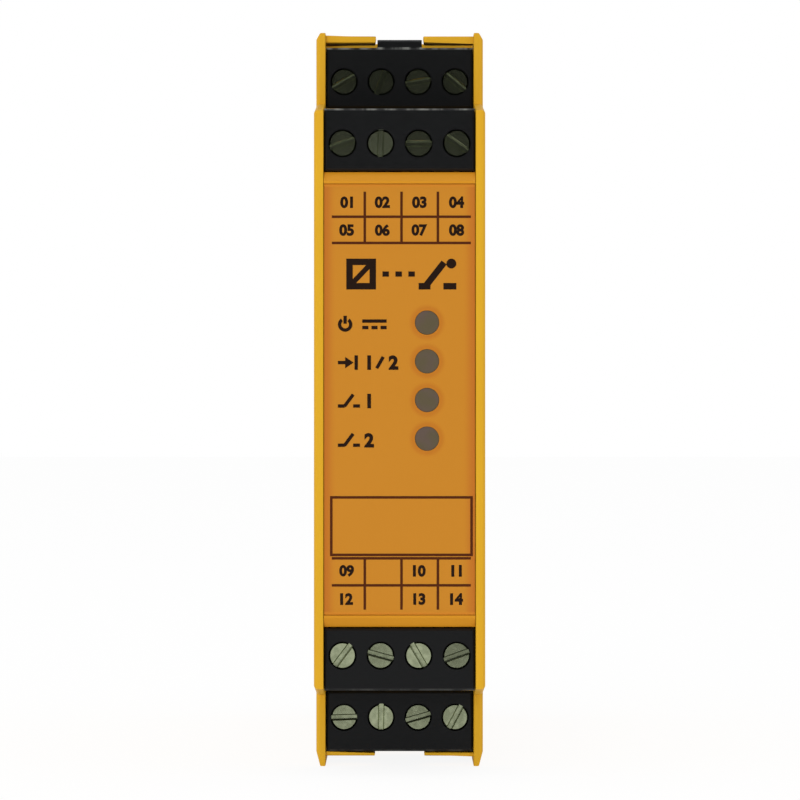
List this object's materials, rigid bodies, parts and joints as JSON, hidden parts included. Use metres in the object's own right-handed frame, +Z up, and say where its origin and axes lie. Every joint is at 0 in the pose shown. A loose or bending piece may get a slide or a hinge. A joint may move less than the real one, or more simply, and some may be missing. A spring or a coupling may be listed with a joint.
{
  "type": "safety relay",
  "caption": "Slim rail-mounted safety relay in a yellow housing, with stepped plug-in screw terminal blocks at both ends, a recessed front label and round light windows.",
  "frame": {"origin": "middle of the rail seat, where the back of the housing lies on the mounting rail", "axes": "+X across the width to the right seen from the front, +Z up the height, +Y from the front back to the rail"},
  "size_m": [0.0226, 0.1145, 0.099],
  "materials": {
    "housing": "moulded, satin",
    "cover": "moulded, satin",
    "label": "printed film",
    "terminal_black": "moulded",
    "lens": "translucent grey",
    "zinc_steel": "zinc plated",
    "tinned_contact": "tinned",
    "board": "solder mask",
    "relay_case": "moulded",
    "led": "clear resin",
    "capacitor_can": "bare top, dark sleeve",
    "latch": "moulded",
    "spring_steel": "bright"
  },
  "bodies": {
    "housing": {"base_housing": "housing", "front_cover": "cover", "label_plate": "label", "light_guides": "lens", "status_leds": "led", "display_board": "board", "main_board": "board", "relay_k1": "relay_case", "relay_k2": "relay_case", "capacitor": "capacitor_can", "latch_spring": "spring_steel", "header_top_outer": "terminal_black", "pins_top_outer": "tinned_contact", "header_top_inner": "terminal_black", "pins_top_inner": "tinned_contact", "header_bottom_inner": "terminal_black", "pins_bottom_inner": "tinned_contact", "header_bottom_outer": "terminal_black", "pins_bottom_outer": "tinned_contact"},
    "latch": {"rail_latch": "latch"},
    "block_top_outer": {"plug_top_outer": "terminal_black", "contacts_top_outer": "tinned_contact"},
    "screw_top_outer_1": {"screw_top_outer_1": "zinc_steel"},
    "cage_top_outer_1": {"cage_top_outer_1": "zinc_steel"},
    "screw_top_outer_2": {"screw_top_outer_2": "zinc_steel"},
    "cage_top_outer_2": {"cage_top_outer_2": "zinc_steel"},
    "screw_top_outer_3": {"screw_top_outer_3": "zinc_steel"},
    "cage_top_outer_3": {"cage_top_outer_3": "zinc_steel"},
    "screw_top_outer_4": {"screw_top_outer_4": "zinc_steel"},
    "cage_top_outer_4": {"cage_top_outer_4": "zinc_steel"},
    "block_top_inner": {"plug_top_inner": "terminal_black", "contacts_top_inner": "tinned_contact"},
    "screw_top_inner_1": {"screw_top_inner_1": "zinc_steel"},
    "cage_top_inner_1": {"cage_top_inner_1": "zinc_steel"},
    "screw_top_inner_2": {"screw_top_inner_2": "zinc_steel"},
    "cage_top_inner_2": {"cage_top_inner_2": "zinc_steel"},
    "screw_top_inner_3": {"screw_top_inner_3": "zinc_steel"},
    "cage_top_inner_3": {"cage_top_inner_3": "zinc_steel"},
    "screw_top_inner_4": {"screw_top_inner_4": "zinc_steel"},
    "cage_top_inner_4": {"cage_top_inner_4": "zinc_steel"},
    "block_bottom_inner": {"plug_bottom_inner": "terminal_black", "contacts_bottom_inner": "tinned_contact"},
    "screw_bottom_inner_1": {"screw_bottom_inner_1": "zinc_steel"},
    "cage_bottom_inner_1": {"cage_bottom_inner_1": "zinc_steel"},
    "screw_bottom_inner_2": {"screw_bottom_inner_2": "zinc_steel"},
    "cage_bottom_inner_2": {"cage_bottom_inner_2": "zinc_steel"},
    "screw_bottom_inner_3": {"screw_bottom_inner_3": "zinc_steel"},
    "cage_bottom_inner_3": {"cage_bottom_inner_3": "zinc_steel"},
    "screw_bottom_inner_4": {"screw_bottom_inner_4": "zinc_steel"},
    "cage_bottom_inner_4": {"cage_bottom_inner_4": "zinc_steel"},
    "block_bottom_outer": {"plug_bottom_outer": "terminal_black", "contacts_bottom_outer": "tinned_contact"},
    "screw_bottom_outer_1": {"screw_bottom_outer_1": "zinc_steel"},
    "cage_bottom_outer_1": {"cage_bottom_outer_1": "zinc_steel"},
    "screw_bottom_outer_2": {"screw_bottom_outer_2": "zinc_steel"},
    "cage_bottom_outer_2": {"cage_bottom_outer_2": "zinc_steel"},
    "screw_bottom_outer_3": {"screw_bottom_outer_3": "zinc_steel"},
    "cage_bottom_outer_3": {"cage_bottom_outer_3": "zinc_steel"},
    "screw_bottom_outer_4": {"screw_bottom_outer_4": "zinc_steel"},
    "cage_bottom_outer_4": {"cage_bottom_outer_4": "zinc_steel"}
  },
  "joints": [
    {"name": "pull_top_outer", "type": "slide", "parent": "housing", "child": "block_top_outer", "axis": [0, -1, 0], "range_m": [0, 0.02]},
    {"name": "turn_top_outer_1", "type": "hinge", "parent": "block_top_outer", "child": "screw_top_outer_1", "pos_m": [-0.0075, -0.093, 0.04295], "axis": [0, 1, 0], "range_deg": [0, 1440]},
    {"name": "clamp_top_outer_1", "type": "slide", "parent": "block_top_outer", "child": "cage_top_outer_1", "axis": [0, -1, 0], "range_m": [0, 0.002]},
    {"name": "turn_top_outer_2", "type": "hinge", "parent": "block_top_outer", "child": "screw_top_outer_2", "pos_m": [-0.0025, -0.093, 0.04295], "axis": [0, 1, 0], "range_deg": [0, 1440]},
    {"name": "clamp_top_outer_2", "type": "slide", "parent": "block_top_outer", "child": "cage_top_outer_2", "axis": [0, -1, 0], "range_m": [0, 0.002]},
    {"name": "turn_top_outer_3", "type": "hinge", "parent": "block_top_outer", "child": "screw_top_outer_3", "pos_m": [0.0025, -0.093, 0.04295], "axis": [0, 1, 0], "range_deg": [0, 1440]},
    {"name": "clamp_top_outer_3", "type": "slide", "parent": "block_top_outer", "child": "cage_top_outer_3", "axis": [0, -1, 0], "range_m": [0, 0.002]},
    {"name": "turn_top_outer_4", "type": "hinge", "parent": "block_top_outer", "child": "screw_top_outer_4", "pos_m": [0.0075, -0.093, 0.04295], "axis": [0, 1, 0], "range_deg": [0, 1440]},
    {"name": "clamp_top_outer_4", "type": "slide", "parent": "block_top_outer", "child": "cage_top_outer_4", "axis": [0, -1, 0], "range_m": [0, 0.002]},
    {"name": "pull_top_inner", "type": "slide", "parent": "housing", "child": "block_top_inner", "axis": [0, -1, 0], "range_m": [0, 0.02]},
    {"name": "turn_top_inner_1", "type": "hinge", "parent": "block_top_inner", "child": "screw_top_inner_1", "pos_m": [-0.0075, -0.109, 0.03365], "axis": [0, 1, 0], "range_deg": [0, 1440]},
    {"name": "clamp_top_inner_1", "type": "slide", "parent": "block_top_inner", "child": "cage_top_inner_1", "axis": [0, -1, 0], "range_m": [0, 0.002]},
    {"name": "turn_top_inner_2", "type": "hinge", "parent": "block_top_inner", "child": "screw_top_inner_2", "pos_m": [-0.0025, -0.109, 0.03365], "axis": [0, 1, 0], "range_deg": [0, 1440]},
    {"name": "clamp_top_inner_2", "type": "slide", "parent": "block_top_inner", "child": "cage_top_inner_2", "axis": [0, -1, 0], "range_m": [0, 0.002]},
    {"name": "turn_top_inner_3", "type": "hinge", "parent": "block_top_inner", "child": "screw_top_inner_3", "pos_m": [0.0025, -0.109, 0.03365], "axis": [0, 1, 0], "range_deg": [0, 1440]},
    {"name": "clamp_top_inner_3", "type": "slide", "parent": "block_top_inner", "child": "cage_top_inner_3", "axis": [0, -1, 0], "range_m": [0, 0.002]},
    {"name": "turn_top_inner_4", "type": "hinge", "parent": "block_top_inner", "child": "screw_top_inner_4", "pos_m": [0.0075, -0.109, 0.03365], "axis": [0, 1, 0], "range_deg": [0, 1440]},
    {"name": "clamp_top_inner_4", "type": "slide", "parent": "block_top_inner", "child": "cage_top_inner_4", "axis": [0, -1, 0], "range_m": [0, 0.002]},
    {"name": "pull_bottom_inner", "type": "slide", "parent": "housing", "child": "block_bottom_inner", "axis": [0, -1, 0], "range_m": [0, 0.02]},
    {"name": "turn_bottom_inner_1", "type": "hinge", "parent": "block_bottom_inner", "child": "screw_bottom_inner_1", "pos_m": [-0.0075, -0.109, -0.03365], "axis": [0, 1, 0], "range_deg": [0, 1440]},
    {"name": "clamp_bottom_inner_1", "type": "slide", "parent": "block_bottom_inner", "child": "cage_bottom_inner_1", "axis": [0, -1, 0], "range_m": [0, 0.002]},
    {"name": "turn_bottom_inner_2", "type": "hinge", "parent": "block_bottom_inner", "child": "screw_bottom_inner_2", "pos_m": [-0.0025, -0.109, -0.03365], "axis": [0, 1, 0], "range_deg": [0, 1440]},
    {"name": "clamp_bottom_inner_2", "type": "slide", "parent": "block_bottom_inner", "child": "cage_bottom_inner_2", "axis": [0, -1, 0], "range_m": [0, 0.002]},
    {"name": "turn_bottom_inner_3", "type": "hinge", "parent": "block_bottom_inner", "child": "screw_bottom_inner_3", "pos_m": [0.0025, -0.109, -0.03365], "axis": [0, 1, 0], "range_deg": [0, 1440]},
    {"name": "clamp_bottom_inner_3", "type": "slide", "parent": "block_bottom_inner", "child": "cage_bottom_inner_3", "axis": [0, -1, 0], "range_m": [0, 0.002]},
    {"name": "turn_bottom_inner_4", "type": "hinge", "parent": "block_bottom_inner", "child": "screw_bottom_inner_4", "pos_m": [0.0075, -0.109, -0.03365], "axis": [0, 1, 0], "range_deg": [0, 1440]},
    {"name": "clamp_bottom_inner_4", "type": "slide", "parent": "block_bottom_inner", "child": "cage_bottom_inner_4", "axis": [0, -1, 0], "range_m": [0, 0.002]},
    {"name": "pull_bottom_outer", "type": "slide", "parent": "housing", "child": "block_bottom_outer", "axis": [0, -1, 0], "range_m": [0, 0.02]},
    {"name": "turn_bottom_outer_1", "type": "hinge", "parent": "block_bottom_outer", "child": "screw_bottom_outer_1", "pos_m": [-0.0075, -0.093, -0.04295], "axis": [0, 1, 0], "range_deg": [0, 1440]},
    {"name": "clamp_bottom_outer_1", "type": "slide", "parent": "block_bottom_outer", "child": "cage_bottom_outer_1", "axis": [0, -1, 0], "range_m": [0, 0.002]},
    {"name": "turn_bottom_outer_2", "type": "hinge", "parent": "block_bottom_outer", "child": "screw_bottom_outer_2", "pos_m": [-0.0025, -0.093, -0.04295], "axis": [0, 1, 0], "range_deg": [0, 1440]},
    {"name": "clamp_bottom_outer_2", "type": "slide", "parent": "block_bottom_outer", "child": "cage_bottom_outer_2", "axis": [0, -1, 0], "range_m": [0, 0.002]},
    {"name": "turn_bottom_outer_3", "type": "hinge", "parent": "block_bottom_outer", "child": "screw_bottom_outer_3", "pos_m": [0.0025, -0.093, -0.04295], "axis": [0, 1, 0], "range_deg": [0, 1440]},
    {"name": "clamp_bottom_outer_3", "type": "slide", "parent": "block_bottom_outer", "child": "cage_bottom_outer_3", "axis": [0, -1, 0], "range_m": [0, 0.002]},
    {"name": "turn_bottom_outer_4", "type": "hinge", "parent": "block_bottom_outer", "child": "screw_bottom_outer_4", "pos_m": [0.0075, -0.093, -0.04295], "axis": [0, 1, 0], "range_deg": [0, 1440]},
    {"name": "clamp_bottom_outer_4", "type": "slide", "parent": "block_bottom_outer", "child": "cage_bottom_outer_4", "axis": [0, -1, 0], "range_m": [0, 0.002]},
    {"name": "latch_slide", "type": "slide", "parent": "housing", "child": "latch", "axis": [0, 0, -1], "range_m": [0, 0.0035], "stiffness_N_per_m": 2000, "springref_m": -0.002, "deforming": ["latch_spring"]}
  ],
  "couplings": [
    {"joint": "turn_top_outer_1", "follows": "clamp_top_outer_1", "rad_per_m": 12566},
    {"joint": "turn_top_outer_2", "follows": "clamp_top_outer_2", "rad_per_m": 12566},
    {"joint": "turn_top_outer_3", "follows": "clamp_top_outer_3", "rad_per_m": 12566},
    {"joint": "turn_top_outer_4", "follows": "clamp_top_outer_4", "rad_per_m": 12566},
    {"joint": "turn_top_inner_1", "follows": "clamp_top_inner_1", "rad_per_m": 12566},
    {"joint": "turn_top_inner_2", "follows": "clamp_top_inner_2", "rad_per_m": 12566},
    {"joint": "turn_top_inner_3", "follows": "clamp_top_inner_3", "rad_per_m": 12566},
    {"joint": "turn_top_inner_4", "follows": "clamp_top_inner_4", "rad_per_m": 12566},
    {"joint": "turn_bottom_inner_1", "follows": "clamp_bottom_inner_1", "rad_per_m": 12566},
    {"joint": "turn_bottom_inner_2", "follows": "clamp_bottom_inner_2", "rad_per_m": 12566},
    {"joint": "turn_bottom_inner_3", "follows": "clamp_bottom_inner_3", "rad_per_m": 12566},
    {"joint": "turn_bottom_inner_4", "follows": "clamp_bottom_inner_4", "rad_per_m": 12566},
    {"joint": "turn_bottom_outer_1", "follows": "clamp_bottom_outer_1", "rad_per_m": 12566},
    {"joint": "turn_bottom_outer_2", "follows": "clamp_bottom_outer_2", "rad_per_m": 12566},
    {"joint": "turn_bottom_outer_3", "follows": "clamp_bottom_outer_3", "rad_per_m": 12566},
    {"joint": "turn_bottom_outer_4", "follows": "clamp_bottom_outer_4", "rad_per_m": 12566}
  ]
}
